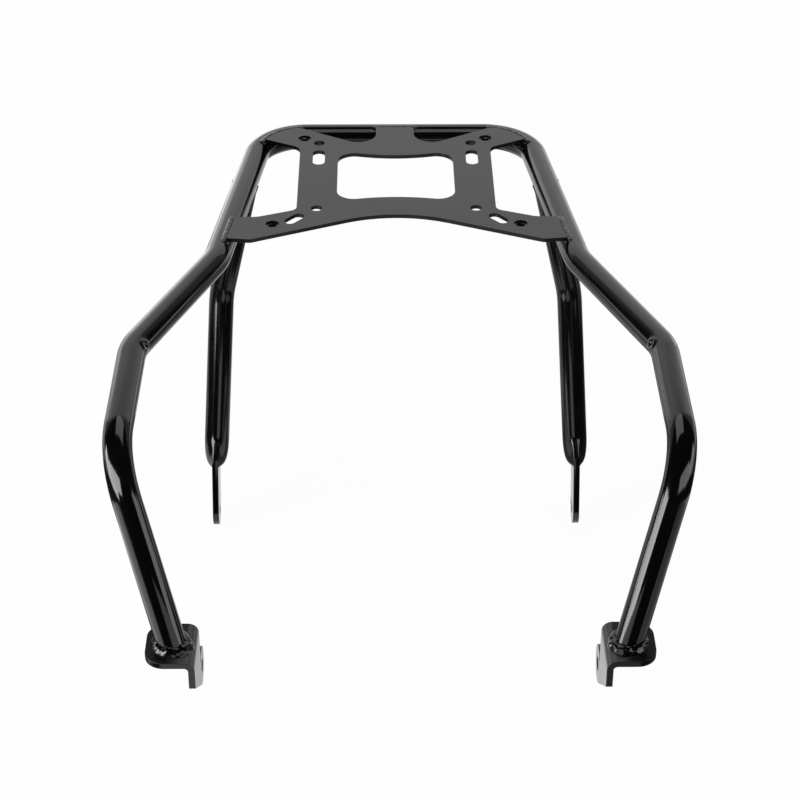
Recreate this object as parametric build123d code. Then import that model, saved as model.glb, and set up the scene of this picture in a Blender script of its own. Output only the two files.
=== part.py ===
from build123d import *
import math
import os

# Motorcycle luggage rack, welded from bent steel tube and laser-cut plate.
# Millimetres. X runs across the motorcycle, +Y points to its tail and +Z up.
# The origin is on the deck plate's top face, midway between its two front bolt holes.

# Tube stock
tube_od = 18.0
tube_wall = 2.0

# Hoop: one tube, bent from foot to foot
crossbar_y = 133.3
corner_radius = 38.0
rail_front_half = 121.5
rail_front_y = -55.2
rail_toe = 7.15
flare_start_radius = 60.0
flare_half = 167.2
flare_y = -169.2
flare_end_radius = 45.0
grip_half = 170.0
grip_y = -271.7
grip_drop = 12.0
grip_radius = 52.0
foot_half = 136.5
foot_y = -324.7
foot_drop = 110.6

# Crimp left inside the flare's outer bend by the press tool
crimp_radius = 5.0
crimp_depth = 1.2

# Deck plate
plate_thickness = 2.8
plate_land = 5.2
tab_half_width = 13.8
rear_notch_radius = 13.4
rear_edge_y = 92.7
rear_edge_slope = 31.4
rear_arm_y = 94.1
rear_arm_slope = 28.0
rear_arm_radius = 9.0
column_half = 69.0
front_arm_y = -1.7
front_arm_slope = 21.5
front_arm_radius = 6.0
front_lug_in = 25.5
front_lug_radius = 18.0
front_corner_in = 22.5
front_corner_radius = 4.0
front_edge_y = -1.9
front_edge_slope = 23.5
front_edge_radius = 88.0
window_half = 41.4
window_front_y = 16.8
window_front_sag = 6.3
window_rear_y = 81.1
window_rear_sag = 8.0
window_corner_radius = 12.0

# Holes and slots in the deck plate, the outer ones in from the rail's centre line
nut_hole_d = 9.0
nut_rear_in = 31.7
nut_rear_y = 109.3
nut_front_in = 36.7
nut_front_y = -22.7
bolt_hole_d = 7.6
bolt_rear_y = 101.3
bolt_front_y = 0.0
rear_slot_y = 78.1
rear_slot_length = 22.0
rear_slot_width = 8.7
front_slot_in = 51.4
front_slot_y = -15.3
front_slot_length = 16.2
front_slot_width = 7.6
front_slot_angle = 50.0

# Weld nuts under the deck plate
nut_across_flats = 11.0
nut_height = 5.0
nut_bore_d = 5.0

# Rear legs: tube welded under each rail, with its end pressed into a flat tab
leg_top_y = 58.3
leg_kink_half = 126.8
leg_kink_y = 41.5
leg_kink_drop = 81.8
leg_kink_radius = 30.0
tab_inner_half = 130.6
tab_thickness = 4.6
tab_width = 22.0
tab_hole_d = 7.0
tab_hole_y = -20.0
tab_hole_drop = 231.0
tab_neck = 30.0
tab_taper = 22.0
tab_shoulder = 0.45
tab_shoulder_thickness = 14.0
tab_shoulder_width = 20.0

# Front brackets: a flange under each foot, folded down into an ear
bracket_thickness = 4.0
bracket_bend_radius = 2.5
flange_inner_margin = 14.7
flange_outer_margin = 15.5
flange_end_margin = 8.8
flange_corner_radius = 12.0
ear_front_depth = 19.0
ear_hole_d = 9.0
ear_hole_behind = 7.0
ear_hole_depth = 38.4
ear_lobe_radius = 12.0
ear_relief_radius = 1.6

# Weld beads
arm_bead_radius = 3.1
arm_bead_in = 2.7
leg_bead = 2.6
leg_bead_side = 0.4
foot_bead = 3.0
foot_bead_toe = 0.4

# Values that follow from those above
column_middle = (window_half + column_half) / 2
ear_inner_half = foot_half - flange_inner_margin
tube_r = tube_od / 2
bore_r = tube_r - tube_wall
plate_bottom = -plate_thickness
rail_z = plate_bottom - math.sqrt(tube_r**2 - plate_land**2)
foot_z = rail_z - foot_drop
toe_tan = math.tan(math.radians(rail_toe))
toe_cos = math.cos(math.radians(rail_toe))
left_and_right = {"left": -1, "right": 1}


def rail_x(y):
    """Half spacing of the rails' centre lines at a place along the rack."""
    return rail_front_half - (y - rail_front_y) * toe_tan


def sided(name, side):
    return f"{name}_{side}"


def on_side(shape, sign):
    """A shape drawn on the right, or its mirror image on the left."""
    return shape if sign > 0 else mirror(shape, about=Plane.YZ)


def tube(path, radius):
    """A round bar of one radius along a path."""
    return sweep(Plane(path @ 0, z_dir=path % 0) * Circle(radius), path=path)


# Hoop
# Half of the bent tube's corner points, from the foot to the crossbar, with the bend at each.
foot = Vector(foot_half, foot_y, foot_z)
grip = Vector(grip_half, grip_y, rail_z - grip_drop)
flare = Vector(flare_half, flare_y, rail_z)
rail_front = Vector(rail_front_half, rail_front_y, rail_z)
corner = Vector(rail_x(crossbar_y), crossbar_y, rail_z)
foot_end = foot + (foot - grip).normalized() * tube_od
half_hoop = [foot_end, grip, flare, rail_front, corner]
half_bends = [grip_radius, flare_end_radius, flare_start_radius, corner_radius]


def mirrored(points):
    return [Vector(-p.X, p.Y, p.Z) for p in points]


hoop_path = FilletPolyline(
    *mirrored(half_hoop),
    *reversed(half_hoop),
    radius=half_bends + half_bends[::-1],
)
above_feet = Plane.XY.offset(foot_z)
hoop_bar = split(tube(hoop_path, tube_r), bisect_by=above_feet, keep=Keep.TOP)
hoop_bore = split(tube(hoop_path, bore_r), bisect_by=above_feet, keep=Keep.TOP)

# The crimp lies on the inner side of the flare's outer bend, where its two runs meet.
into_flare = (flare - rail_front).normalized()
out_of_flare = (grip - flare).normalized()
crimp_inward = (out_of_flare - into_flare).normalized()
flare_turn = math.radians(into_flare.get_angle(out_of_flare))
bend_mid = flare + crimp_inward * flare_end_radius * (1 / math.cos(flare_turn / 2) - 1)
crimp_centre = bend_mid + crimp_inward * (tube_r + crimp_radius - crimp_depth)
crimp = Pos(crimp_centre) * Sphere(crimp_radius)
hoop_tube = hoop_bar - hoop_bore - crimp - mirror(crimp, about=Plane.YZ)


# Deck plate
# Its arms and their holes keep to the rails, the rear ones to the rails' rear end.
front_lug_half = rail_front_half - front_lug_in
front_corner_half = rail_front_half - front_corner_in
front_slot_half = rail_front_half - front_slot_in
nut_front_half = rail_front_half - nut_front_in
nut_rear_half = rail_x(crossbar_y) - nut_rear_in


# The plate is drawn past the tubes, then trimmed by the land that it keeps from the hoop's centre line.
def rise(slope, run):
    return run * math.tan(math.radians(slope))


reach = rail_front_half + tube_od
front_arc_half = front_edge_radius * math.sin(math.radians(front_edge_slope))
front_arc_crown = front_edge_y - front_edge_radius * (1 / math.cos(math.radians(front_edge_slope)) - 1)
front_arc_y = front_edge_y - rise(front_edge_slope, front_arc_half)
front_corner_y = front_edge_y - rise(front_edge_slope, front_corner_half)
front_lug_y = front_arm_y - rise(front_arm_slope, front_lug_half - column_half)
right_edge = FilletPolyline(
    (0, crossbar_y),
    (tab_half_width, crossbar_y),
    (tab_half_width, rear_edge_y),
    (reach, rear_edge_y + rise(rear_edge_slope, reach - tab_half_width)),
    (reach, rear_arm_y + rise(rear_arm_slope, reach - column_half)),
    (column_half, rear_arm_y),
    (column_half, front_arm_y),
    (front_lug_half, front_lug_y),
    (reach, front_lug_y),
    (reach, front_corner_y + (reach - front_corner_half) * toe_tan),
    (front_corner_half, front_corner_y),
    (front_arc_half, front_arc_y),
    radius=[
        0,
        rear_notch_radius,
        0,
        0,
        rear_arm_radius,
        front_arm_radius,
        front_lug_radius,
        0,
        0,
        front_corner_radius,
    ],
)
front_arc = ThreePointArc(
    (-front_arc_half, front_arc_y), (0, front_arc_crown), (front_arc_half, front_arc_y)
)
plate_blank = make_face([*right_edge.edges(), front_arc, *mirror(right_edge, about=Plane.YZ).edges()])

land_rear = crossbar_y - plate_land
land_slant = plate_land / toe_cos
land_path = FilletPolyline(
    (-rail_front_half + land_slant, rail_front_y),
    (-rail_x(land_rear) + land_slant, land_rear),
    (rail_x(land_rear) - land_slant, land_rear),
    (rail_front_half - land_slant, rail_front_y),
    radius=[corner_radius - plate_land] * 2,
)
land_front = Line(land_path @ 1, land_path @ 0)
inside_hoop = make_face([*land_path.edges(), land_front])

window_front_arc = ThreePointArc(
    (-window_half, window_front_y - window_front_sag),
    (0, window_front_y),
    (window_half, window_front_y - window_front_sag),
)
window_rear_arc = ThreePointArc(
    (window_half, window_rear_y + window_rear_sag),
    (0, window_rear_y),
    (-window_half, window_rear_y + window_rear_sag),
)
window_right = Line(window_front_arc @ 1, window_rear_arc @ 0)
window_left = Line(window_rear_arc @ 1, window_front_arc @ 0)
window = make_face([window_front_arc, window_right, window_rear_arc, window_left])
window = fillet(window.vertices(), window_corner_radius)

nut_places = [
    (sign * half, row)
    for sign in (-1, 1)
    for half, row in ((nut_rear_half, nut_rear_y), (nut_front_half, nut_front_y))
]
bolt_places = [(sign * column_middle, row) for sign in (-1, 1) for row in (bolt_rear_y, bolt_front_y)]
cutouts = [window]
cutouts += [Pos(x, y) * Circle(nut_hole_d / 2) for x, y in nut_places]
cutouts += [Pos(x, y) * Circle(bolt_hole_d / 2) for x, y in bolt_places]
for sign in left_and_right.values():
    rear_slot = SlotOverall(rear_slot_length, rear_slot_width, rotation=90)
    front_slot = SlotOverall(front_slot_length, front_slot_width, rotation=-sign * front_slot_angle)
    cutouts.append(Pos(sign * column_middle, rear_slot_y) * rear_slot)
    cutouts.append(Pos(sign * front_slot_half, front_slot_y) * front_slot)
plate_face = plate_blank & inside_hoop
for cutout in cutouts:
    plate_face -= cutout
top_plate = extrude(Pos(0, 0, plate_bottom) * plate_face, amount=plate_thickness)

# Weld nuts
nut_section = RegularPolygon(nut_across_flats / 2, 6, major_radius=False) - Circle(nut_bore_d / 2)
weld_nut = extrude(nut_section, amount=-nut_height)


# Rear legs
# The tube runs from under the rail to the taper, which the press closes into the tab.
leg_top = Vector(rail_x(leg_top_y), leg_top_y, rail_z)
leg_kink = Vector(leg_kink_half, leg_kink_y, rail_z - leg_kink_drop)
tab_hole = Vector(tab_inner_half + tab_thickness / 2, tab_hole_y, rail_z - tab_hole_drop)
tab_down = Vector(0, tab_hole.Y - leg_kink.Y, tab_hole.Z - leg_kink.Z).normalized()
taper_end = tab_hole - tab_down * tab_neck
taper_start = taper_end - (taper_end - leg_kink).normalized() * tab_taper
leg_path = FilletPolyline(leg_top, leg_kink, taper_start, radius=leg_kink_radius)
leg_bar = tube(leg_path, tube_r)
tab_plane = Plane(taper_end, x_dir=(1, 0, 0), z_dir=tab_down)
tab_section = SlotOverall(tab_width, tab_thickness, rotation=90)
leg_round = Plane(leg_path @ 1, x_dir=(1, 0, 0), z_dir=leg_path % 1) * Circle(tube_r)
shoulder_at = leg_path @ 1 + (taper_end - leg_path @ 1) * tab_shoulder
leg_shoulder = Plane(shoulder_at, x_dir=(1, 0, 0), z_dir=tab_down) * Ellipse(
    tab_shoulder_thickness / 2, tab_shoulder_width / 2
)
leg_taper = loft([leg_round, leg_shoulder, tab_plane * tab_section])
tab_bar = extrude(tab_plane * tab_section, amount=tab_neck + tab_width / 2)
tab_side = Plane(tab_hole, x_dir=-tab_down, z_dir=(1, 0, 0))
tab_outline = Circle(tab_width / 2) + Pos(tab_neck / 2, 0) * Rectangle(tab_neck, tab_width)
tab_end = extrude(tab_side * tab_outline, amount=tab_thickness, both=True)
tab_drill = extrude(tab_side * Circle(tab_hole_d / 2), amount=tab_thickness, both=True)
leg_tab = (tab_bar & tab_end) - tab_drill
rear_leg = leg_bar - tube(leg_path, bore_r) + leg_taper + leg_tab - hoop_bar


# Front brackets
# The fold is drawn across the sheet and extruded along it, then the ear and the flange are trimmed.
# The flange is as long as the leaning foot's outline on it, with a margin at each end.
foot_lean = (grip - foot).normalized()
foot_reach = tube_r * math.hypot(1, foot_lean.Y / foot_lean.Z)
flange_outer = foot_half + flange_outer_margin
flange_front_y = foot_y - foot_reach - flange_end_margin
flange_rear_y = foot_y + foot_reach + flange_end_margin
ear_hole = Vector(ear_inner_half, flange_rear_y + ear_hole_behind, foot_z - ear_hole_depth)
ear_bottom = ear_hole.Z - ear_lobe_radius
ear_rear_y = ear_hole.Y + ear_lobe_radius
fold_outer_radius = bracket_bend_radius + bracket_thickness
fold_line = FilletPolyline(
    (flange_outer, foot_z), (ear_inner_half, foot_z), (ear_inner_half, ear_bottom), radius=fold_outer_radius
)
fold_inside = FilletPolyline(
    (ear_inner_half + bracket_thickness, ear_bottom),
    (ear_inner_half + bracket_thickness, foot_z - bracket_thickness),
    (flange_outer, foot_z - bracket_thickness),
    radius=bracket_bend_radius,
)
fold_ends = [Line(fold_line @ 1, fold_inside @ 0), Line(fold_inside @ 1, fold_line @ 0)]
fold_section = make_face([*fold_line.edges(), fold_ends[0], *fold_inside.edges(), fold_ends[1]])
fold_plane = Plane((0, flange_front_y, 0), x_dir=(1, 0, 0), z_dir=(0, -1, 0))
folded_sheet = extrude(fold_plane * fold_section, amount=-(ear_rear_y - flange_front_y))

flange_plan = FilletPolyline(
    (0, flange_front_y),
    (flange_outer, flange_front_y),
    (flange_outer, flange_rear_y),
    (0, flange_rear_y),
    radius=flange_corner_radius,
)
flange_plan_face = make_face([*flange_plan.edges(), Line(flange_plan @ 1, flange_plan @ 0)])
flange_zone = extrude(Pos(0, 0, ear_bottom) * flange_plan_face, amount=foot_z - ear_bottom)

# The ear's outline is drawn in side view: Y across, Z up.
side_view = Plane(origin=(0, 0, 0), x_dir=(0, 1, 0), z_dir=(1, 0, 0))
ear_front_low = foot_z - ear_front_depth
to_front_low = Vector(flange_front_y - ear_hole.Y, ear_front_low - ear_hole.Z)
lobe_reach = math.degrees(math.acos(ear_lobe_radius / to_front_low.length))
lobe_angle = math.degrees(math.atan2(to_front_low.Y, to_front_low.X)) + lobe_reach
lobe_touch = Vector(
    ear_hole.Y + ear_lobe_radius * math.cos(math.radians(lobe_angle)),
    ear_hole.Z + ear_lobe_radius * math.sin(math.radians(lobe_angle)),
)
ear_blank = Polygon(
    (flange_front_y, foot_z),
    (flange_front_y, ear_front_low),
    (lobe_touch.X, lobe_touch.Y),
    (ear_hole.Y, ear_hole.Z),
    (flange_rear_y, ear_hole.Z),
    (flange_rear_y, foot_z),
    align=None,
)
lobe = Pos(ear_hole.Y, ear_hole.Z) * Circle(ear_lobe_radius)
relief_z = ear_hole.Z + math.sqrt(ear_lobe_radius**2 - ear_hole_behind**2)
relief = Pos(flange_rear_y, relief_z) * Circle(ear_relief_radius)
ear_hole_circle = Pos(ear_hole.Y, ear_hole.Z) * Circle(ear_hole_d / 2)
ear_face = ear_blank + lobe - relief - ear_hole_circle
ear_zone = extrude(side_view * ear_face, amount=flange_outer)
front_bracket = folded_sheet & ear_zone & (flange_zone + extrude(side_view * lobe, amount=flange_outer))


# Weld beads
# A bead lies in the corner of the pieces it joins and takes their faces as its own.
bead_slant = arm_bead_in / toe_cos
bead_rear = crossbar_y - arm_bead_in
bead_z = -arm_bead_radius
bead_path = FilletPolyline(
    (-rail_front_half + bead_slant, rail_front_y, bead_z),
    (-rail_x(bead_rear) + bead_slant, bead_rear, bead_z),
    (rail_x(bead_rear) - bead_slant, bead_rear, bead_z),
    (rail_front_half - bead_slant, rail_front_y, bead_z),
    radius=[corner_radius - arm_bead_in] * 2,
)
bead_rope = tube(bead_path, arm_bead_radius)
arm_band = extrude(Pos(0, 0, plate_bottom) * plate_blank, amount=tube_od)
arm_beads = (bead_rope & arm_band) - top_plate - hoop_bar
bead_by_place = {}
for bead in arm_beads.solids():
    middle = bead.center()
    place = "rear" if middle.Y > bolt_front_y else "front"
    if abs(middle.X) < tab_half_width:
        bead_by_place["tab_weld"] = bead
    else:
        bead_by_place[sided(f"arm_weld_{place}", "right" if middle.X > 0 else "left")] = bead

# The leg is as wide as the rail, so its bead is full in the two corners along the rail and thin at the sides.
leg_axis = (leg_kink - leg_top).normalized()
leg_plane = Plane(leg_top, x_dir=corner - rail_front, z_dir=leg_axis)
leg_oval = leg_plane * Ellipse(tube_r + leg_bead, tube_r + leg_bead_side)
leg_collar = extrude(leg_oval, amount=tube_od)
rail_collar = tube(Line(rail_front, corner), tube_r + leg_bead)
leg_weld = (leg_collar & rail_collar) - hoop_bar - leg_bar

# The foot's bead is a cone round the leaning tube, from inside the flange up to the bead's height.
foot_heading = math.degrees(math.atan2(foot_lean.Y, foot_lean.X))


def foot_ring(height, radius):
    """The leaning tube's outline at a height over the flange."""
    middle = foot + foot_lean * (height / foot_lean.Z)
    return Pos(middle) * Ellipse(radius / foot_lean.Z, radius, rotation=foot_heading)


foot_cone = loft(
    [
        foot_ring(-bracket_thickness / 2, tube_r + foot_bead + bracket_thickness / 2),
        foot_ring(foot_bead, tube_r + foot_bead_toe),
    ]
)
flange_column = extrude(Pos(0, 0, ear_bottom) * flange_plan_face, amount=foot_z + foot_bead - ear_bottom)
foot_weld = (foot_cone & flange_column) - hoop_bar - front_bracket

nodes = {"hoop_tube": hoop_tube, "top_plate": top_plate, **bead_by_place}
for side, sign in left_and_right.items():
    nodes[sided("rear_leg", side)] = on_side(rear_leg, sign)
    nodes[sided("front_bracket", side)] = on_side(front_bracket, sign)
    nodes[sided("leg_weld", side)] = on_side(leg_weld, sign)
    nodes[sided("foot_weld", side)] = on_side(foot_weld, sign)
for x, y in nut_places:
    place = "rear" if y == nut_rear_y else "front"
    nodes[sided(f"weld_nut_{place}", "right" if x > 0 else "left")] = Pos(x, y, plate_bottom) * weld_nut

os.makedirs("parts", exist_ok=True)
for name, shape in nodes.items():
    export_step(shape, f"parts/{name}.step")
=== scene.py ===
import math

import bmesh
import bpy
from mathutils import Matrix, Quaternion, Vector


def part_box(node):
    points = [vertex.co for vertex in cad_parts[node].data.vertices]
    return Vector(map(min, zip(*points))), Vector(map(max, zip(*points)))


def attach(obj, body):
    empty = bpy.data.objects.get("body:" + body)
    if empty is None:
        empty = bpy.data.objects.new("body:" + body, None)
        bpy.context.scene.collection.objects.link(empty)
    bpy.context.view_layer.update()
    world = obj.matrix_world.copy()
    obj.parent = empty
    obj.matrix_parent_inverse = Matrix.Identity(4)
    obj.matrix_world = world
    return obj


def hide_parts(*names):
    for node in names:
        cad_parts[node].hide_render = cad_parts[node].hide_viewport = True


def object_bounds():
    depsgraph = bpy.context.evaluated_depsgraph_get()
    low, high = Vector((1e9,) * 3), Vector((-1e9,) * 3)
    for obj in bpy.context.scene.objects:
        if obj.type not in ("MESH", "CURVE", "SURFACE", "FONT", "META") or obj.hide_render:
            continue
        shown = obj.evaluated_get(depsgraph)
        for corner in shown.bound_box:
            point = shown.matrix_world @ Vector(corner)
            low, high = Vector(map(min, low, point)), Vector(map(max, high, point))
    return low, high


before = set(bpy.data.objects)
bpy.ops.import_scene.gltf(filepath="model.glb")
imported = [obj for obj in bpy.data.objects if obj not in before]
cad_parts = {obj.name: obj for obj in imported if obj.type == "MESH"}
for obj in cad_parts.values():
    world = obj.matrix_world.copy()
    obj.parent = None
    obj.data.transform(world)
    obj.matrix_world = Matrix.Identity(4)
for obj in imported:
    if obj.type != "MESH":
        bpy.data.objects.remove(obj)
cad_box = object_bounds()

# Hoop: one steel tube bent from foot to foot, sawn flat where it stands on the front brackets.
# It is powder coated black after welding, and the bending tool left a crimp inside each flare.
MM = 0.001
TUBE_RADIUS = 9.0
TUBE_SIDES = 128
BEND_STEP = 0.8
hoop_low, hoop_high = (Vector(corner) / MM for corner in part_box("hoop_tube"))
rail_z = hoop_high.z - TUBE_RADIUS
foot_z = hoop_low.z
crossbar_y = hoop_high.y - TUBE_RADIUS
RAIL_TOE = math.tan(math.radians(7.15))
CORNER_BEND = 38.0
FLARE_START_BEND = 60.0
FLARE_END_BEND = 45.0
GRIP_BEND = 52.0
GRIP_DROP = 12.0
CRIMP_RADIUS = 3.1
CRIMP_DEPTH = 1.3
CRIMP_RIM = 0.55
CRIMP_RAISE = math.radians(38)
CRIMP_REACH = 2
CRIMP_STEEP = 3
CRIMP_RIM_STEEP = 6
CREASE_ANGLE = math.radians(40)
rail_front = Vector((121.5, -55.2, rail_z))
flare = Vector((167.2, -169.2, rail_z))
grip = Vector((170.0, -271.7, rail_z - GRIP_DROP))
foot = Vector((136.5, -324.7, foot_z))


def rail_point(y):
    """A point of the right rail's centre line."""
    return Vector((rail_front.x - (y - rail_front.y) * RAIL_TOE, y, rail_z))


def mirrored(points):
    return [Vector((-p.x, p.y, p.z)) for p in points]


def rounded_path(corners, bends, step):
    """Points along straight runs that are joined by bends of the given radii."""
    path = [corners[0]]
    for before, here, after, bend in zip(corners, corners[1:], corners[2:], bends):
        into = (here - before).normalized()
        out = (after - here).normalized()
        turn = into.angle(out)
        start = here - into * bend * math.tan(turn / 2)
        centre = here + (out - into).normalized() * bend / math.cos(turn / 2)
        axis = into.cross(out).normalized()
        count = max(3, math.ceil(turn * bend / step))
        for index in range(count + 1):
            path.append(centre + Quaternion(axis, turn * index / count) @ (start - centre))
    path.append(corners[-1])
    return path


def directions(path):
    """The heading of a path at each of its points."""
    steps = [(after - before).normalized() for before, after in zip(path, path[1:])]
    inner = [(a + b).normalized() for a, b in zip(steps, steps[1:])]
    return [steps[0], *inner, steps[-1]]


def round_section(sides, radius):
    turns = [2 * math.pi * index / sides for index in range(sides)]
    return [(radius * math.cos(turn), radius * math.sin(turn)) for turn in turns]


def swept_rings(path, sections, keep_up):
    """One ring of points for each point of a path; keep_up is the way a section's first axis leans."""
    rings = []
    for point, heading, section in zip(path, directions(path), sections):
        first = (keep_up - heading * keep_up.dot(heading)).normalized()
        second = heading.cross(first)
        rings.append([point + first * a + second * b for a, b in section])
    return rings


def mesh_from_rings(name, rings, joined=False):
    """A smooth closed mesh through rings of equal count: its ends are filled, or joined to each other."""
    sides = len(rings[0])
    points = [corner * MM for ring in rings for corner in ring]
    faces = []
    for ring in range(len(rings) if joined else len(rings) - 1):
        low = ring * sides
        high = (ring + 1) % len(rings) * sides
        for side in range(sides):
            across = (side + 1) % sides
            faces.append((low + side, low + across, high + across, high + side))
    if not joined:
        last = (len(rings) - 1) * sides
        faces.append(tuple(reversed(range(sides))))
        faces.append(tuple(range(last, last + sides)))
    mesh = bpy.data.meshes.new(name)
    mesh.from_pydata(points, [], faces)
    bm = bmesh.new()
    bm.from_mesh(mesh)
    bmesh.ops.recalc_face_normals(bm, faces=bm.faces)
    bm.to_mesh(mesh)
    bm.free()
    mesh.shade_smooth()
    mesh.set_sharp_from_angle(angle=CREASE_ANGLE)
    return mesh


def place(name, mesh):
    """Puts a mesh into the scene, unmoved."""
    piece = bpy.data.objects.new(name, mesh)
    bpy.context.scene.collection.objects.link(piece)
    return piece


class Wire:
    """A node's output: arithmetic on it adds Math nodes, and node() adds any other node of its tree."""

    def __init__(self, tree, socket=None):
        self.tree = tree
        self.socket = socket

    def node(self, kind, settings=None, sockets=None, output=0):
        made = self.tree.nodes.new(kind)
        for name, value in (settings or {}).items():
            if name == "stops":
                ramp = made.color_ramp.elements
                for stop, (at, shade) in zip((ramp[0], ramp[1]), value):
                    stop.position = at
                    stop.color = (shade, shade, shade, 1)
            else:
                setattr(made, name, value)
        for key, value in (sockets or {}).items():
            if isinstance(value, Wire):
                self.tree.links.new(value.socket, made.inputs[key])
            else:
                made.inputs[key].default_value = value
        return Wire(self.tree, made.outputs[output] if made.outputs else None)

    def math(self, operation, first, second=0.0):
        return self.node("ShaderNodeMath", {"operation": operation}, {0: first, 1: second})

    def __add__(self, other):
        return self.math("ADD", self, other)

    def __sub__(self, other):
        return self.math("SUBTRACT", self, other)

    def __rsub__(self, other):
        return self.math("SUBTRACT", other, self)

    def __mul__(self, other):
        return self.math("MULTIPLY", self, other)

    __radd__ = __add__
    __rmul__ = __mul__


COAT_BLACK = (0.0010, 0.0010, 0.0011)
COAT_DUSTY = (0.007, 0.007, 0.007)
COAT_IOR = 1.5
PATCH_SIZE = 45.0
GRAIN_SIZE = 9.0
FINER = 5
NOISE_FALL = 0.55
NOISE_MIDDLE = 0.5
SPECK_STOPS = ((0.035, 1.0), (0.055, 0.0))
SCUFF_AND_GLINT_STOPS = ((0.56, 0.0), (0.78, 1.0))
SCUFF_DUST_AND_GLINT = 0.35
SPECK_DUST_AND_GLINT = 0.5
FINE_HEIGHT = 0.25
SPECK_HEIGHT = 0.8
PATCH_DULLING = 0.10
FINE_DULLING = 0.06
SPECK_DULLING = 0.15


def powder_coat(
    name, roughness, peel_size, peel_height, patch_size=PATCH_SIZE, black=COAT_BLACK, dust_and_glints=COAT_DUSTY
):
    """Black powder coat: orange peel, patches of lower gloss and a few settled grains. Patches and grains
    are tinted towards the second colour: dust where it is near black, painted glints where it is pale.
    """
    material = bpy.data.materials.new(name)
    material.use_nodes = True
    tree = material.node_tree
    tree.nodes.clear()
    start = Wire(tree)
    where = start.node("ShaderNodeTexCoord", output="Object")

    def noise(size, detail):
        sockets = {"Vector": where, "Scale": 1 / (size * MM), "Detail": detail, "Roughness": NOISE_FALL}
        return start.node("ShaderNodeTexNoise", sockets=sockets)

    peel = noise(peel_size, detail=1.0)
    fine = noise(peel_size / FINER, detail=2.0)
    patch = noise(patch_size, detail=3.0)
    grain_sockets = {"Vector": where, "Scale": 1 / (GRAIN_SIZE * MM)}
    grain = start.node("ShaderNodeTexVoronoi", {"feature": "F1"}, grain_sockets)
    speck = start.node("ShaderNodeValToRGB", {"stops": SPECK_STOPS}, {0: grain})
    scuff_and_glint = start.node("ShaderNodeValToRGB", {"stops": SCUFF_AND_GLINT_STOPS}, {0: patch})
    # The mix paints the second colour into patches and grains: dust on most coats, painted glints on the
    # rough beads.
    shade = start.node(
        "ShaderNodeMix",
        {"data_type": "RGBA"},
        {0: SCUFF_DUST_AND_GLINT * scuff_and_glint + SPECK_DUST_AND_GLINT * speck, 6: (*black, 1), 7: (*dust_and_glints, 1)},
        output=2,
    )
    height = peel + FINE_HEIGHT * fine + SPECK_HEIGHT * speck
    relief_sockets = {"Strength": 1.0, "Distance": peel_height * MM, "Height": height}
    relief = start.node("ShaderNodeBump", sockets=relief_sockets)
    dulling = PATCH_DULLING * (patch - NOISE_MIDDLE)
    fine_dulling = FINE_DULLING * (fine - NOISE_MIDDLE)
    shader = start.node(
        "ShaderNodeBsdfPrincipled",
        sockets={
            "Base Color": shade,
            "Roughness": roughness + dulling + fine_dulling + SPECK_DULLING * speck,
            "IOR": COAT_IOR,
            "Normal": relief,
        },
    )
    start.node("ShaderNodeOutputMaterial", sockets={"Surface": shader})
    return material


tube_coat = powder_coat("tube_coat", roughness=0.10, peel_size=1.6, peel_height=0.006)

foot_end = foot + (foot - grip).normalized() * TUBE_RADIUS
half_hoop = [foot_end, grip, flare, rail_front, rail_point(crossbar_y)]
half_bends = [GRIP_BEND, FLARE_END_BEND, FLARE_START_BEND, CORNER_BEND]
hoop_path = rounded_path(mirrored(half_hoop) + half_hoop[::-1], half_bends + half_bends[::-1], BEND_STEP)
hoop_sections = [round_section(TUBE_SIDES, TUBE_RADIUS)] * len(hoop_path)
hoop_rings = swept_rings(hoop_path, hoop_sections, Vector((0, 0, 1)))

# Each foot's end ring is slid along the tube until it lies flat on the flange.
for ring, lean in ((hoop_rings[0], mirrored([grip - foot])[0]), (hoop_rings[-1], grip - foot)):
    for corner in ring:
        corner += lean * ((foot_z - corner.z) / lean.z)

into_flare = (flare - rail_front).normalized()
out_of_flare = (grip - flare).normalized()
bend_inward = (out_of_flare - into_flare).normalized()
crimp_inward = bend_inward * math.cos(CRIMP_RAISE) + Vector((0, 0, math.sin(CRIMP_RAISE)))
flare_turn = into_flare.angle(out_of_flare)
bend_middle = flare + bend_inward * FLARE_END_BEND * (1 / math.cos(flare_turn / 2) - 1)
crimp = bend_middle + crimp_inward * TUBE_RADIUS
for dent, inward in ((crimp, crimp_inward), mirrored([crimp, crimp_inward])):
    for ring in hoop_rings:
        for corner in ring:
            away = (corner - dent).length / CRIMP_RADIUS
            if away < CRIMP_REACH:
                hollow = CRIMP_DEPTH * math.exp(-CRIMP_STEEP * away**2)
                rim = CRIMP_RIM * math.exp(-CRIMP_RIM_STEEP * (away - 1) ** 2)
                corner -= inward * (hollow - rim)

hoop = place("hoop_tube_look", mesh_from_rings("hoop_tube_look", hoop_rings))
hoop.data.materials.append(tube_coat)
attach(hoop, "root")
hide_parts("hoop_tube")

# Rear legs: a length of the same tube welded under each rail and kinked once.
# The lower end is pressed into a flat tab and pierced for the bolt that holds the rack.
LEG_TOP_Y = 58.3
KINK_BEND = 55.0
TAB_THICKNESS = 4.6
TAB_WIDTH = 24.0
TAB_END = 10.83
TAB_TIP = TAB_THICKNESS / 4
TAB_HOLE_RADIUS = 3.5
TAB_HOLE_SIDES = 48
DRILL_DEPTH = 4 * TAB_THICKNESS
TAB_NECK = 34.0
TAB_TAPER = 26.0
PRESS_STEPS = 30
TAB_END_STEPS = 14
TAB_CORNER = 0.9
EDGE_SHARE = 0.4
PINCH_SHARE = 0.7
ROUND_POWER = 0.5
PINCH_POWER = 1.6
SHOULDER_POWER = 2.8
leg_top = rail_point(LEG_TOP_Y)
leg_kink = Vector((126.8, 41.5, rail_z - 81.8))
tab_hole = Vector((132.9, -20.0, rail_z - 231.0))


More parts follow.
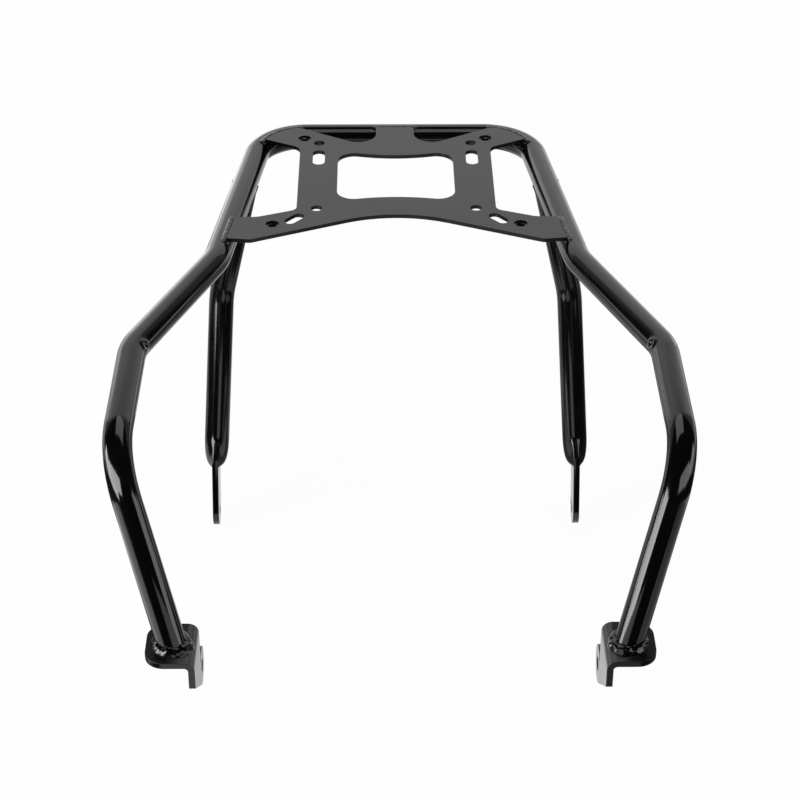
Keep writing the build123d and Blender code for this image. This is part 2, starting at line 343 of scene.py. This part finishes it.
def pressed_section(edge, half_width, middle, power):
    """The section of a flat bar with rounded edges that still swells in its middle as the tube did."""
    corner = min(TAB_CORNER, edge)
    points = []
    for index in range(TUBE_SIDES):
        turn = 2 * math.pi * index / TUBE_SIDES
        along = math.sin(turn)
        past = max(0.0, abs(along) * half_width - (half_width - corner))
        bar = edge - corner + math.sqrt(max(0.0, corner**2 - past**2))
        swell = (middle - edge) * (1 - along**2) ** power
        points.append((math.copysign(bar + swell, math.cos(turn)), half_width * along))
    return points


def blend(low, high, share):
    """A value that leaves one end and meets the other without a corner."""
    return low + (high - low) * share * share * (3 - 2 * share)


tab_down = Vector((0, tab_hole.y - leg_kink.y, tab_hole.z - leg_kink.z)).normalized()
press_end = tab_hole - tab_down * TAB_NECK
press_start = press_end - (press_end - leg_kink).normalized() * TAB_TAPER
leg_path = rounded_path([leg_top, leg_kink, press_start], [KINK_BEND], BEND_STEP)
leg_sections = [round_section(TUBE_SIDES, TUBE_RADIUS)] * len(leg_path)
for step in range(1, PRESS_STEPS + 1):
    swing = math.pi / 2 * step / PRESS_STEPS
    share = math.sin(swing) ** (2 / SHOULDER_POWER)
    left_over = max(0.0, math.cos(swing)) ** (2 / SHOULDER_POWER)
    leg_path.append(press_start.lerp(press_end, share))
    edge = blend(0.0, TAB_THICKNESS / 2, min(1.0, share / EDGE_SHARE))
    swell = TAB_THICKNESS / 2 + (TUBE_RADIUS - TAB_THICKNESS / 2) * left_over
    wide = blend(TUBE_RADIUS, TAB_WIDTH / 2, share)
    power = blend(ROUND_POWER, PINCH_POWER, min(1.0, share / PINCH_SHARE))
    leg_sections.append(pressed_section(edge, wide, swell, power))
for step in range(TAB_END_STEPS + 1):
    turn = math.pi / 2 * step / TAB_END_STEPS
    wide = max(TAB_WIDTH / 2 * math.cos(turn), TAB_TIP)
    leg_path.append(tab_hole + tab_down * (TAB_END * math.sin(turn)))
    leg_sections.append(pressed_section(TAB_THICKNESS / 2, wide, TAB_THICKNESS / 2, PINCH_POWER))
leg_rings = swept_rings(leg_path, leg_sections, Vector((1, 0, 0)))


def drilled(mesh, middle, axis, radius, depth):
    """A mesh with one round hole cut through it."""
    cutter_mesh = bpy.data.meshes.new("drill")
    bm = bmesh.new()
    turned = Matrix.Translation(middle * MM) @ axis.to_track_quat("Z", "Y").to_matrix().to_4x4()
    bmesh.ops.create_cone(
        bm,
        cap_ends=True,
        segments=TAB_HOLE_SIDES,
        radius1=radius * MM,
        radius2=radius * MM,
        depth=depth * MM,
        matrix=turned,
    )
    bm.to_mesh(cutter_mesh)
    bm.free()
    cutter = place("drill", cutter_mesh)
    blank = place("blank", mesh)
    cut = blank.modifiers.new("hole", "BOOLEAN")
    cut.object = cutter
    cut.solver = "EXACT"
    result = bpy.data.meshes.new_from_object(blank.evaluated_get(bpy.context.evaluated_depsgraph_get()))
    bpy.data.objects.remove(blank)
    bpy.data.objects.remove(cutter)
    result.name = mesh.name
    result.set_sharp_from_angle(angle=CREASE_ANGLE)
    return result


for side, sign in (("left", -1), ("right", 1)):
    rings = leg_rings if sign > 0 else [mirrored(ring) for ring in leg_rings]
    leg_mesh = mesh_from_rings(f"rear_leg_{side}_look", rings)
    hole_at = Vector((sign * tab_hole.x, tab_hole.y, tab_hole.z))
    leg_mesh = drilled(leg_mesh, hole_at, Vector((1, 0, 0)), TAB_HOLE_RADIUS, DRILL_DEPTH)
    leg = place(f"rear_leg_{side}_look", leg_mesh)
    leg.data.materials.clear()
    leg.data.materials.append(tube_coat)
    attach(leg, "root")
    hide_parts(f"rear_leg_{side}")

# Front brackets: 4 mm sheet cut and folded, with a flange under the foot and an ear for the frame bolt.
# The press and the coat leave their edges softly rounded.
EDGE_ROUND = 0.38
EDGE_STEPS = 3
SHARP_CORNER = math.radians(35)
FLAT_ANGLE = math.radians(0.6)
FLAT_WEIGHT = 100
MERGE_DISTANCE = 0.002
plate_coat = powder_coat("plate_coat", roughness=0.24, peel_size=1.9, peel_height=0.007)


def softened_copy(node, name, edge_round):
    """A copy of a CAD piece with its flat faces joined up and its edges rounded."""
    source = bpy.data.objects[node]
    mesh = source.data.copy()
    mesh.transform(source.matrix_world)
    bm = bmesh.new()
    bm.from_mesh(mesh)
    bmesh.ops.remove_doubles(bm, verts=bm.verts, dist=MERGE_DISTANCE * MM)
    bmesh.ops.dissolve_limit(bm, angle_limit=FLAT_ANGLE, verts=bm.verts, edges=bm.edges)
    bm.to_mesh(mesh)
    bm.free()
    blank = place("blank", mesh)
    rounding = blank.modifiers.new("edges", "BEVEL")
    rounding.width = edge_round * MM
    rounding.segments = EDGE_STEPS
    rounding.limit_method = "ANGLE"
    rounding.angle_limit = SHARP_CORNER
    mesh.shade_smooth()
    flattening = blank.modifiers.new("flats", "WEIGHTED_NORMAL")
    flattening.weight = FLAT_WEIGHT
    result = bpy.data.meshes.new_from_object(blank.evaluated_get(bpy.context.evaluated_depsgraph_get()))
    bpy.data.objects.remove(blank)
    result.name = name
    result.materials.clear()
    return result


for side in ("left", "right"):
    node = f"front_bracket_{side}"
    bracket = place(f"{node}_look", softened_copy(node, f"{node}_look", EDGE_ROUND))
    bracket.data.materials.append(plate_coat)
    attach(bracket, "root")
    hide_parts(node)

# Deck plate: laser-cut sheet laid on the rails, with the window, bolt holes and slots for luggage.
# Its edges are broken before coating, so a thin line of light runs along them.
deck_coat = powder_coat("deck_coat", roughness=0.32, peel_size=1.9, peel_height=0.007)
deck = place("top_plate_look", softened_copy("top_plate", "top_plate_look", EDGE_ROUND))
deck.data.materials.append(deck_coat)
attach(deck, "root")
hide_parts("top_plate")

# Weld nuts: steel nuts set under the plate's four larger holes, each with a pilot that sits in its hole.
# They are threaded through, chamfered at the corners, spot welded and coated with the plate.
NUT_SIDES = 96
NUT_FLATS = 11.0
NUT_CHAMFER = 0.8
PILOT_RADIUS = 4.3
PILOT_RISE = 1.7
BORE_RADIUS = 2.5
THREAD_DEPTH = 0.4
THREAD_PITCH = 1.0
nut_coat = powder_coat("nut_coat", roughness=0.22, peel_size=1.2, peel_height=0.008)


def nut_rings(middle, top, bottom):
    """Rings of a nut from its bore's lower end up, over the pilot and down the six flats."""
    profile = []
    turns = int((top + PILOT_RISE - bottom) / THREAD_PITCH)
    for index in range(2 * turns + 1):
        crest = BORE_RADIUS + THREAD_DEPTH * (index % 2)
        profile.append((crest, crest, bottom + index * THREAD_PITCH / 2))
    flat = NUT_FLATS / 2
    profile.append((BORE_RADIUS + 2 * THREAD_DEPTH, 0, top + PILOT_RISE))
    profile.append((PILOT_RADIUS - THREAD_DEPTH, 0, top + PILOT_RISE))
    profile.append((PILOT_RADIUS, 0, top + PILOT_RISE - THREAD_DEPTH))
    profile.append((PILOT_RADIUS, 0, top))
    profile.append((flat, 0, top))
    profile.append((0, flat, top - NUT_CHAMFER / 2))
    profile.append((0, flat, bottom + NUT_CHAMFER / 2))
    profile.append((flat, 0, bottom))
    rings = []
    for round_radius, flat_radius, height in profile:
        ring = []
        for index in range(NUT_SIDES):
            turn = 2 * math.pi * index / NUT_SIDES
            to_flat = math.cos(turn % (math.pi / 3) - math.pi / 6)
            radius = round_radius or flat_radius / to_flat
            ring.append(middle + Vector((radius * math.sin(turn), radius * math.cos(turn), height)))
        rings.append(ring)
    return rings


for end in ("front", "rear"):
    for side in ("left", "right"):
        node = f"weld_nut_{end}_{side}"
        low, high = (Vector(corner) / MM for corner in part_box(node))
        nut_axis = Vector(((low.x + high.x) / 2, (low.y + high.y) / 2, 0))
        rings = nut_rings(nut_axis, high.z, low.z)
        nut = place(f"{node}_look", mesh_from_rings(f"{node}_look", rings, joined=True))
        nut.data.materials.append(nut_coat)
        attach(nut, "root")
        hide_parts(node)

# Weld beads: runs of weld metal laid where the pieces meet, rippled by the moving arc and coated over.
# Each follows its seam: along the plate's edges on the hoop, round the legs' tops and round the feet.
SEAM_STEP = 0.6
SEAM_POINTS = 96
BEAD_STEP = 0.3
BEAD_SIDES = 36
BEAD_CEILING = -0.05
PLATE_BEAD_IN = 3.0
PLATE_BEAD_RADIUS = 2.8
PLATE_BEAD_SINK = 0.3
PLATE_BEAD_RUNOUT = 2.8
START_SHARE = 0.3
LUMP_REACH = 5.0
LUMP_SINK = 1.6
LUMP_GAIN = 0.45
LEG_BEAD_OUT = 0.3
LEG_BEAD_THIN = 0.12
LEG_BEAD_POWER = 1.5
FOOT_BEAD_OUT = -1.6
FOOT_BEAD_UP = -1.2
FOOT_BEAD_BASE = 2.0
LUMP_DETAIL = 1.5
BEAD_BLACK = (0.004, 0.004, 0.004)
# The rough beads' pale grey is painted glints: the light their lumps would catch, painted into the coat's
# colour as flecks and patches.
BEAD_GLINT_GREY = (0.5, 0.5, 0.5)
rough_bead_coat = powder_coat(
    "rough_bead_coat",
    roughness=0.26,
    peel_size=1.5,
    peel_height=0.05,
    patch_size=2.2,
    black=BEAD_BLACK,
    dust_and_glints=BEAD_GLINT_GREY,
)
bead_coat = powder_coat("bead_coat", roughness=0.13, peel_size=1.2, peel_height=0.03)
plate_bead = {
    "Radius": PLATE_BEAD_RADIUS * MM,
    "Ripple Pitch": 2.6 * MM,
    "Ripple Depth": 0.04,
    "Lumps": 0.7 * MM,
    "Lump Size": 3.6 * MM,
    "Coat": rough_bead_coat,
}
leg_bead = {
    "Radius": 2.1 * MM,
    "Ripple Pitch": 2.4 * MM,
    "Ripple Depth": 0.12,
    "Lumps": 1.0 * MM,
    "Lump Size": 2.8 * MM,
    "Coat": bead_coat,
}
foot_bead = {
    "Radius": 5.2 * MM,
    "Ripple Pitch": 7.0 * MM,
    "Ripple Depth": 0.06,
    "Lumps": 2.6 * MM,
    "Lump Size": 4.5 * MM,
    "Coat": bead_coat,
}

bead_tree = bpy.data.node_groups.new("weld_bead", "GeometryNodeTree")
bead_tree.interface.new_socket("Seam", in_out="INPUT", socket_type="NodeSocketGeometry")
bead_inputs = {
    name: bead_tree.interface.new_socket(name, in_out="INPUT", socket_type=kind).identifier
    for name, kind in (
        ("Radius", "NodeSocketFloat"),
        ("Ripple Pitch", "NodeSocketFloat"),
        ("Ripple Depth", "NodeSocketFloat"),
        ("Lumps", "NodeSocketFloat"),
        ("Lump Size", "NodeSocketFloat"),
        ("Coat", "NodeSocketMaterial"),
    )
}
bead_tree.interface.new_socket("Bead", in_out="OUTPUT", socket_type="NodeSocketGeometry")
weld = Wire(bead_tree)


def bead_input(name):
    return weld.node("NodeGroupInput", output=name)


seam = weld.node("GeometryNodeMeshToCurve", sockets={"Mesh": bead_input("Seam")})
seam_sockets = {"Curve": seam, "Length": BEAD_STEP * MM}
seam = weld.node("GeometryNodeResampleCurve", {"mode": "LENGTH"}, seam_sockets)
along = weld.node("GeometryNodeSplineParameter", output="Length")
wave = weld.math("SINE", weld.math("DIVIDE", math.pi * along, bead_input("Ripple Pitch")))
ripple = weld.math("ABSOLUTE", wave)
fullness = weld.node("GeometryNodeInputNamedAttribute", {"data_type": "FLOAT"}, {"Name": "fullness"})
girth = bead_input("Radius") * fullness * (1.0 - bead_input("Ripple Depth") * (1.0 - ripple))
ring = weld.node("GeometryNodeCurvePrimitiveCircle", sockets={"Resolution": BEAD_SIDES, "Radius": 1.0})
rope_sockets = {"Curve": seam, "Profile Curve": ring, "Scale": girth, "Fill Caps": True}
rope = weld.node("GeometryNodeCurveToMesh", sockets=rope_sockets)
lump_scale = weld.math("DIVIDE", 1.0, bead_input("Lump Size"))
lump_sockets = {"Scale": lump_scale, "Detail": LUMP_DETAIL}
spread = weld.node("ShaderNodeTexNoise", sockets=lump_sockets, output="Fac")
outward = weld.node("GeometryNodeInputNormal")
push = weld.node(
    "ShaderNodeVectorMath",
    {"operation": "SCALE"},
    {"Vector": outward, "Scale": (spread - NOISE_MIDDLE) * bead_input("Lumps") * fullness},
)
rope = weld.node("GeometryNodeSetPosition", sockets={"Geometry": rope, "Offset": push})
rope = weld.node("GeometryNodeSetShadeSmooth", sockets={"Geometry": rope})
rope = weld.node("GeometryNodeRealizeInstances", sockets={"Geometry": rope})
rope = weld.node("GeometryNodeSetMaterial", sockets={"Geometry": rope, "Material": bead_input("Coat")})
weld.node("NodeGroupOutput", sockets={"Bead": rope})


def lay_bead(node, path, fullness, closed, look, base=-math.inf):
    """Grows a bead along a seam and puts it in the place of a CAD bead."""
    count = len(path)
    edges = [(index, index + 1) for index in range(count - 1)]
    if closed:
        edges.append((count - 1, 0))
    line = bpy.data.meshes.new("seam")
    line.from_pydata([point * MM for point in path], edges, [])
    line.attributes.new("fullness", "FLOAT", "POINT").data.foreach_set("value", fullness)
    holder = place("seam", line)
    grow = holder.modifiers.new("bead", "NODES")
    grow.node_group = bead_tree
    for name, value in look.items():
        grow[bead_inputs[name]] = value
    mesh = bpy.data.meshes.new_from_object(holder.evaluated_get(bpy.context.evaluated_depsgraph_get()))
    bpy.data.objects.remove(holder)
    for vertex in mesh.vertices:
        vertex.co.z = max(min(vertex.co.z, BEAD_CEILING * MM), base * MM)
    mesh.name = f"{node}_look"
    bead = place(f"{node}_look", mesh)
    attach(bead, "root")
    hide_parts(node)


def dense(path, step):
    """The same line with points no further apart than a step."""
    points = []
    for before, after in zip(path, path[1:]):
        count = max(1, math.ceil((after - before).length / step))
        points += [before.lerp(after, index / count) for index in range(count)]
    return points + [path[-1]]


rear_corner = rail_point(crossbar_y)
rail_line = rounded_path(
    mirrored([rail_front, rear_corner]) + [rear_corner, rail_front], [CORNER_BEND, CORNER_BEND], BEND_STEP
)
plate_seam = []
for point, heading in zip(rail_line, directions(rail_line)):
    inward = heading.cross(Vector((0, 0, 1)))
    plate_seam.append(point + inward * PLATE_BEAD_IN)
for point in plate_seam:
    point.z = -PLATE_BEAD_RADIUS - PLATE_BEAD_SINK
plate_seam = dense(plate_seam, SEAM_STEP)
arm_beads = [f"arm_weld_{end}_{side}" for end in ("front", "rear") for side in ("left", "right")]
plate_beads = [*arm_beads, "tab_weld"]
for node in plate_beads:
    low, high = (Vector(corner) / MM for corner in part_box(node))
    run = [
        point
        for point in plate_seam
        if low.x - PLATE_BEAD_RUNOUT < point.x < high.x + PLATE_BEAD_RUNOUT
        and low.y - PLATE_BEAD_RUNOUT < point.y < high.y + PLATE_BEAD_RUNOUT
    ]
    from_end = [min(index, len(run) - 1 - index) * SEAM_STEP for index in range(len(run))]
    shares = [length / (2 * PLATE_BEAD_RADIUS) for length in from_end]
    full = [math.sqrt(1 - (1 - min(1.0, START_SHARE + share)) ** 2) for share in shares]
    if "front" in node:
        front = min(point.y for point in run)
        lumps = [max(0.0, 1 - (point.y - front) / LUMP_REACH) for point in run]
        run = [point - Vector((0, 0, LUMP_SINK * lump)) for point, lump in zip(run, lumps)]
        full = [share * (1 + LUMP_GAIN * lump) for share, lump in zip(full, lumps)]
    lay_bead(node, run, full, False, plate_bead)

leg_way = (leg_kink - leg_top).normalized()
rail_way = (rear_corner - rail_front).normalized()
leg_ahead = (rail_way - leg_way * rail_way.dot(leg_way)).normalized()
leg_across = leg_way.cross(leg_ahead)
leg_seam = []
leg_full = []
for index in range(SEAM_POINTS):
    turn = 2 * math.pi * index / SEAM_POINTS
    out = leg_ahead * math.cos(turn) + leg_across * math.sin(turn)
    ride_up = (out * TUBE_RADIUS).dot(rail_way)
    lean = leg_way.dot(rail_way)
    square = 1 - lean**2
    depth = (ride_up * lean + math.sqrt((ride_up * lean) ** 2 + square * ride_up**2)) / square
    leg_seam.append(leg_top + out * (TUBE_RADIUS + LEG_BEAD_OUT) + leg_way * depth)
    leg_full.append(LEG_BEAD_THIN + (1 - LEG_BEAD_THIN) * abs(math.cos(turn)) ** LEG_BEAD_POWER)

foot_lean = (grip - foot).normalized()
foot_ahead = Vector((foot_lean.x, foot_lean.y, 0)).normalized()
foot_across = Vector((-foot_ahead.y, foot_ahead.x, 0))
foot_centre = foot + foot_lean * (FOOT_BEAD_UP / foot_lean.z)
foot_reach = TUBE_RADIUS + FOOT_BEAD_OUT
foot_base = foot_z - FOOT_BEAD_BASE
foot_full = [1.0] * SEAM_POINTS
foot_seam = []
for index in range(SEAM_POINTS):
    turn = 2 * math.pi * index / SEAM_POINTS
    ahead = foot_ahead * (foot_reach / foot_lean.z * math.cos(turn))
    across = foot_across * (foot_reach * math.sin(turn))
    foot_seam.append(foot_centre + ahead + across)
for side, sign in (("left", -1), ("right", 1)):
    seams = (leg_seam, foot_seam) if sign > 0 else (mirrored(leg_seam), mirrored(foot_seam))
    lay_bead(f"leg_weld_{side}", seams[0], leg_full, True, leg_bead)
    lay_bead(f"foot_weld_{side}", seams[1], foot_full, True, foot_bead, base=foot_base)

# Floor and light: a pale floor under soft studio light, white to the camera with a faint shadow.
# Dim walls and cards, which only reflections show, give the black coat its light and dark runs.
FLOOR_HALF = 40.0
FLOOR_SHADE = 0.9
WALL_RADIUS = 7.0
WALL_SEGMENTS = 48
CARD_LIFT = 0.001
SOFT_FILL = 0.35
WHITE_SHARE = 0.95
WALL_GLOW = 0.03
floor_z = cad_box[0][2]
stage_middle = (Vector(cad_box[0]) + Vector(cad_box[1])) / 2


def stage_paint(name):
    """An empty stage material and its first wire."""
    paint = bpy.data.materials.new(name)
    paint.use_nodes = True
    paint.node_tree.nodes.clear()
    return paint, Wire(paint.node_tree)


def seen_rays(wire):
    """One for rays that show the background: from the camera, off gloss or through glass."""
    kinds = ("Camera", "Glossy", "Transmission")
    rays = [wire.node("ShaderNodeLightPath", output=f"Is {kind} Ray") for kind in kinds]
    return wire.math("MINIMUM", rays[0] + rays[1] + rays[2], 1.0)


def stage_sheet(name, corners):
    """A flat stage sheet with the given corners, in metres."""
    mesh = bpy.data.meshes.new(name)
    mesh.from_pydata(corners, [], [tuple(range(len(corners)))])
    piece = place(name, mesh)
    return piece


def reflected_only(piece, glow):
    """Gives a stage piece one brightness and shows it to reflections alone."""
    paint, wire = stage_paint(piece.name)
    light = wire.node("ShaderNodeEmission", sockets={"Color": (1, 1, 1, 1), "Strength": glow})
    wire.node("ShaderNodeOutputMaterial", sockets={"Surface": light})
    paint.cycles.emission_sampling = "NONE"
    piece.data.materials.append(paint)
    piece.visible_camera = False
    piece.visible_diffuse = False
    piece.visible_shadow = False
    piece.visible_transmission = False


floor_signs = ((-1, -1), (1, -1), (1, 1), (-1, 1))
floor_corners = [(x * FLOOR_HALF, y * FLOOR_HALF, floor_z) for x, y in floor_signs]
floor = stage_sheet("floor", floor_corners)
floor_paint, paint = stage_paint("floor_paint")
floor_colour = (FLOOR_SHADE, FLOOR_SHADE, FLOOR_SHADE, 1)
matt = paint.node("ShaderNodeBsdfDiffuse", sockets={"Color": floor_colour})
white = paint.node("ShaderNodeEmission", sockets={"Color": (1, 1, 1, 1), "Strength": 1.0})
mixed = paint.node("ShaderNodeMixShader", sockets={0: WHITE_SHARE * seen_rays(paint), 1: matt, 2: white})
paint.node("ShaderNodeOutputMaterial", sockets={"Surface": mixed})
floor.data.materials.append(floor_paint)

walls_mesh = bpy.data.meshes.new("walls")
bm = bmesh.new()
bmesh.ops.create_uvsphere(
    bm, u_segments=WALL_SEGMENTS, v_segments=WALL_SEGMENTS // 2, radius=WALL_RADIUS
)
bm.to_mesh(walls_mesh)
bm.free()
walls = place("walls", walls_mesh)
reflected_only(walls, WALL_GLOW)

right_card = [(0.1, 0.0), (1.4, 0.0), (1.4, 0.4), (0.3, 0.5), (0.05, 0.47)]
right_side_card = [(0.18, -0.1), (1.4, -0.1), (1.4, 0.28), (0.4, 0.24), (0.3, 0.1), (0.18, 0.08)]
right_far_card = [(0.36, -0.02), (6.0, -0.02), (6.0, -4.0), (1.5, -1.2), (1.5, -0.85)]
right_front_card = [(0.28, -0.1), (0.36, -0.1), (1.5, -0.86), (1.5, -1.2), (1.05, -1.2), (0.28, -0.36)]
right_rail_card = [(0.56, 1.08), (0.7, 0.98), (1.3, 1.75), (1.2, 1.9)]
left_card = [(-0.17, 0.05), (-0.17, 0.45), (-0.3, 0.55), (-0.9, 0.5), (-0.62, 0.12), (-0.3, 0.05)]
left_side_card = [(-0.5, 0.05), (-0.5, 0.22), (-1.2, 0.22), (-1.2, 0.05)]
left_turn = [(-1.8, -1.5), (-1.7, -1.0), (-0.48, -0.15)]
left_far_card = [(-0.29, 0.05), (-6.0, 0.05), (-6.0, -4.0), *left_turn, (-0.29, -0.1)]
left_front_card = [(-0.29, -0.1), (-0.29, -0.36), (-0.95, -1.5), *left_turn]
left_rear_near = [(-0.23, 0.6), (-0.4, 0.88), (-0.56, 1.1), (-1.2, 2.3)]
left_rear_card = [*left_rear_near, (-3.0, 5.5), (-1.0, 5.5), (-0.2, 0.9)]
left_rail_card = [(-0.6, 1.08), (-0.76, 1.0), (-1.3, 1.65), (-1.2, 1.95)]
middle_card = [(-0.17, 0.0), (0.17, 0.0), (0.17, 0.45), (-0.17, 0.45)]
middle_strip = [(-0.09, 0.05), (0.015, 0.05), (0.015, 0.42), (-0.09, 0.42)]
ear_card = [(-0.17, -0.36), (0.17, -0.36), (0.17, 0.0), (-0.17, 0.0)]
left_ear_card = [(-0.122, -0.34), (-0.075, -0.34), (-0.075, -0.08), (-0.122, -0.08)]
right_ear_card = [(-x, y) for x, y in left_ear_card]
left_tab_card = [(-0.133, -0.03), (-0.112, -0.03), (-0.112, 0.11), (-0.133, 0.11)]
right_tab_card = [(-x, y) for x, y in left_tab_card]
front_card = [(-0.29, -0.36), (0.29, -0.36), (1.2, -1.8), (1.2, -6.0), (-1.2, -6.0), (-1.2, -1.8)]
left_toe_card = [(-0.2, -0.62), (-0.09, -0.62), (-0.09, -0.38), (-0.2, -0.38)]
right_toe_card = [(-x, y) for x, y in left_toe_card]
left_leg_card = [(-0.29, -0.36), (-0.17, -0.36), (-0.17, -0.02), (-0.29, -0.02)]
right_leg_card = [(-x, y) for x, y in left_leg_card]
floor_cards = [
    ("right_card", right_card, 0.3),
    ("right_side_card", right_side_card, 0.06),
    ("right_far_card", right_far_card, 0.03),
    ("right_front_card", right_front_card, 0.52),
    ("right_rail_card", right_rail_card, 0.1),
    ("left_card", left_card, 0.64),
    ("left_side_card", left_side_card, 0.12),
    ("left_far_card", left_far_card, 0.05),
    ("left_front_card", left_front_card, 1.9),
    ("left_rear_card", left_rear_card, 2.0),
    ("left_rail_card", left_rail_card, 0.1),
    ("middle_card", middle_card, 0.25),
    ("middle_strip", middle_strip, 0.75),
    ("ear_card", ear_card, 0.9),
    ("left_ear_card", left_ear_card, 0.95),
    ("right_ear_card", right_ear_card, 1.15),
    ("left_tab_card", left_tab_card, 0.9),
    ("right_tab_card", right_tab_card, 0.9),
    ("front_card", front_card, 0.035),
    ("left_toe_card", left_toe_card, 1.1),
    ("right_toe_card", right_toe_card, 0.4),
    ("left_leg_card", left_leg_card, 0.04),
    ("right_leg_card", right_leg_card, 0.04),
]
for layer, (name, corners, glow) in enumerate(floor_cards, start=1):
    height = floor_z + layer * CARD_LIFT
    reflected_only(stage_sheet(name, [(x, y, height) for x, y in corners]), glow)

# Standing cards: one before the rack, one behind each foot, and one beside and one before each grab bend.
HANGING_Y = -0.42
HANGING_GLOW = 1.08
hanging_card = [(-0.115, -0.14), (0.1, -0.14), (0.1, -0.03), (-0.115, -0.03)]
reflected_only(stage_sheet("hanging_card", [(x, HANGING_Y, z) for x, z in hanging_card]), HANGING_GLOW)
FLANGE_CARD_Y = -0.22
FLANGE_CARD_GLOW = 0.2
flange_card = [(0.12, -0.078), (0.19, -0.078), (0.19, -0.026), (0.12, -0.026)]
for side, sign in (("left", -1), ("right", 1)):
    corners = [(sign * x, FLANGE_CARD_Y, z) for x, z in flange_card]
    reflected_only(stage_sheet(f"{side}_flange_card", corners), FLANGE_CARD_GLOW)

BEND_CARD_X = 0.5
WINDOW_Y = -0.47
LEFT_BEND_GLOW = 8.0
RIGHT_BEND_GLOW = 2.5
bend_card = [(-0.3, -0.03), (-0.14, -0.02), (-0.14, 0.07), (-0.3, 0.09)]
window_card = [(0.22, 0.06), (1.4, 0.06), (1.4, 0.66), (0.22, 0.19)]
for side, sign, glow in (("left", -1, LEFT_BEND_GLOW), ("right", 1, RIGHT_BEND_GLOW)):
    bend_corners = [(sign * BEND_CARD_X, y, z) for y, z in bend_card]
    reflected_only(stage_sheet(f"{side}_bend_card", bend_corners), glow)
    window_corners = [(sign * x, WINDOW_Y, z) for x, z in window_card]
    reflected_only(stage_sheet(f"{side}_window_card", window_corners), glow)

world = bpy.data.worlds.new("studio")
world.use_nodes = True
world.node_tree.nodes.clear()
sky = Wire(world.node_tree)
soft = sky.node("ShaderNodeBackground", sockets={"Color": (1, 1, 1, 1), "Strength": SOFT_FILL})
bright = sky.node("ShaderNodeBackground", sockets={"Color": (1, 1, 1, 1), "Strength": 1.0})
around = sky.node("ShaderNodeMixShader", sockets={0: seen_rays(sky), 1: soft, 2: bright})
sky.node("ShaderNodeOutputWorld", sockets={"Surface": around})
bpy.context.scene.world = world


def softbox(name, bearing, height, distance, size, radiance, roll=0.0, shape="RECTANGLE"):
    """A lamp of one brightness: bearing from the tail to the right, height and roll are in degrees."""
    turn = math.radians(bearing)
    rise = math.radians(height)
    way = Vector((math.sin(turn) * math.cos(rise), math.cos(turn) * math.cos(rise), math.sin(rise)))
    lamp = bpy.data.lights.new(name, "AREA")
    lamp.shape = shape
    lamp.size, lamp.size_y = size
    area = lamp.size * lamp.size_y * (1.0 if shape == "RECTANGLE" else math.pi / 4)
    lamp.energy = radiance * math.pi * area
    holder = bpy.data.objects.new(name, lamp)
    holder.location = stage_middle + way * distance
    aim = (-way).to_track_quat("-Z", "Y") @ Quaternion((0, 0, 1), math.radians(roll))
    holder.rotation_euler = aim.to_euler()
    holder.visible_camera = False
    bpy.context.scene.collection.objects.link(holder)


rear_panel = {"bearing": -2, "height": 13, "distance": 2.8, "size": (5.6, 4.4), "radiance": 0.66}
rear_halo = {"bearing": 0, "height": 12, "distance": 3.4, "size": (10.5, 6.0), "radiance": 0.26}
rear_crown = {"bearing": -6, "height": 32, "distance": 2.75, "size": (2.6, 1.6), "radiance": 0.17}
rear_glow = {"bearing": -25, "height": 6, "distance": 2.7, "size": (1.8, 1.5), "radiance": 0.8}
right_spot = {"bearing": 35, "height": 3, "distance": 2.6, "size": (0.4, 0.4), "radiance": 1.4}
top_panel = {"bearing": 0, "height": 78.7, "distance": 0.64, "size": (0.5, 0.3), "radiance": 1.6}
left_box = {"bearing": -116, "height": 18, "distance": 2.2, "size": (1.5, 0.8), "radiance": 10.0}
right_box = {"bearing": 110, "height": 17, "distance": 2.2, "size": (1.05, 0.5), "radiance": 3.3}
softbox("rear_panel", shape="ELLIPSE", **rear_panel)
softbox("rear_halo", shape="ELLIPSE", **rear_halo)
softbox("rear_crown", shape="ELLIPSE", **rear_crown)
softbox("rear_glow", shape="ELLIPSE", **rear_glow)
softbox("right_spot", shape="ELLIPSE", **right_spot)
softbox("top_panel", **top_panel)
softbox("left_box", roll=9.0, **left_box)
softbox("right_box", roll=-14.0, **right_box)

# The deck and the beads on its edges are kept out of the left light.
# It would wash the deck out in a low look from the other side.
off_deck = bpy.data.collections.new("off_deck")
for piece in (deck, *(bpy.data.objects[f"{node}_look"] for node in plate_beads)):
    off_deck.objects.link(piece)
for member in off_deck.collection_objects:
    member.light_linking.link_state = "EXCLUDE"
for name in ("left_bend_card", "left_window_card", "left_box"):
    bpy.data.objects[name].light_linking.receiver_collection = off_deck

# Camera: a long lens before the rack, raised and tilted down so that the deck shows its top.
# Its place and turns were solved from points of the rack, so they are not round numbers.
CAMERA_AT = Vector((-12.81, -1349.73, 711.74))
PITCH = math.radians(32.7908)
YAW = math.radians(0.6680)
ROLL = math.radians(0.16715)
LENS_LENGTH = 99.0
SENSOR_WIDTH = 36.0
lens = bpy.data.cameras.new("camera")
lens.lens = LENS_LENGTH
lens.sensor_width = SENSOR_WIDTH
camera = bpy.data.objects.new("camera", lens)
ahead = Vector((math.sin(YAW) * math.cos(PITCH), math.cos(YAW) * math.cos(PITCH), -math.sin(PITCH)))
level = Vector((math.cos(YAW), -math.sin(YAW), 0))
upright = level.cross(ahead)
right = level * math.cos(ROLL) + upright * math.sin(ROLL)
top = upright * math.cos(ROLL) - level * math.sin(ROLL)
axes = Matrix((right, top, -ahead)).transposed()
camera.matrix_world = Matrix.Translation(CAMERA_AT * MM) @ axes.to_4x4()
bpy.context.scene.collection.objects.link(camera)
bpy.context.scene.camera = camera
bpy.context.scene.view_settings.view_transform = "Standard"
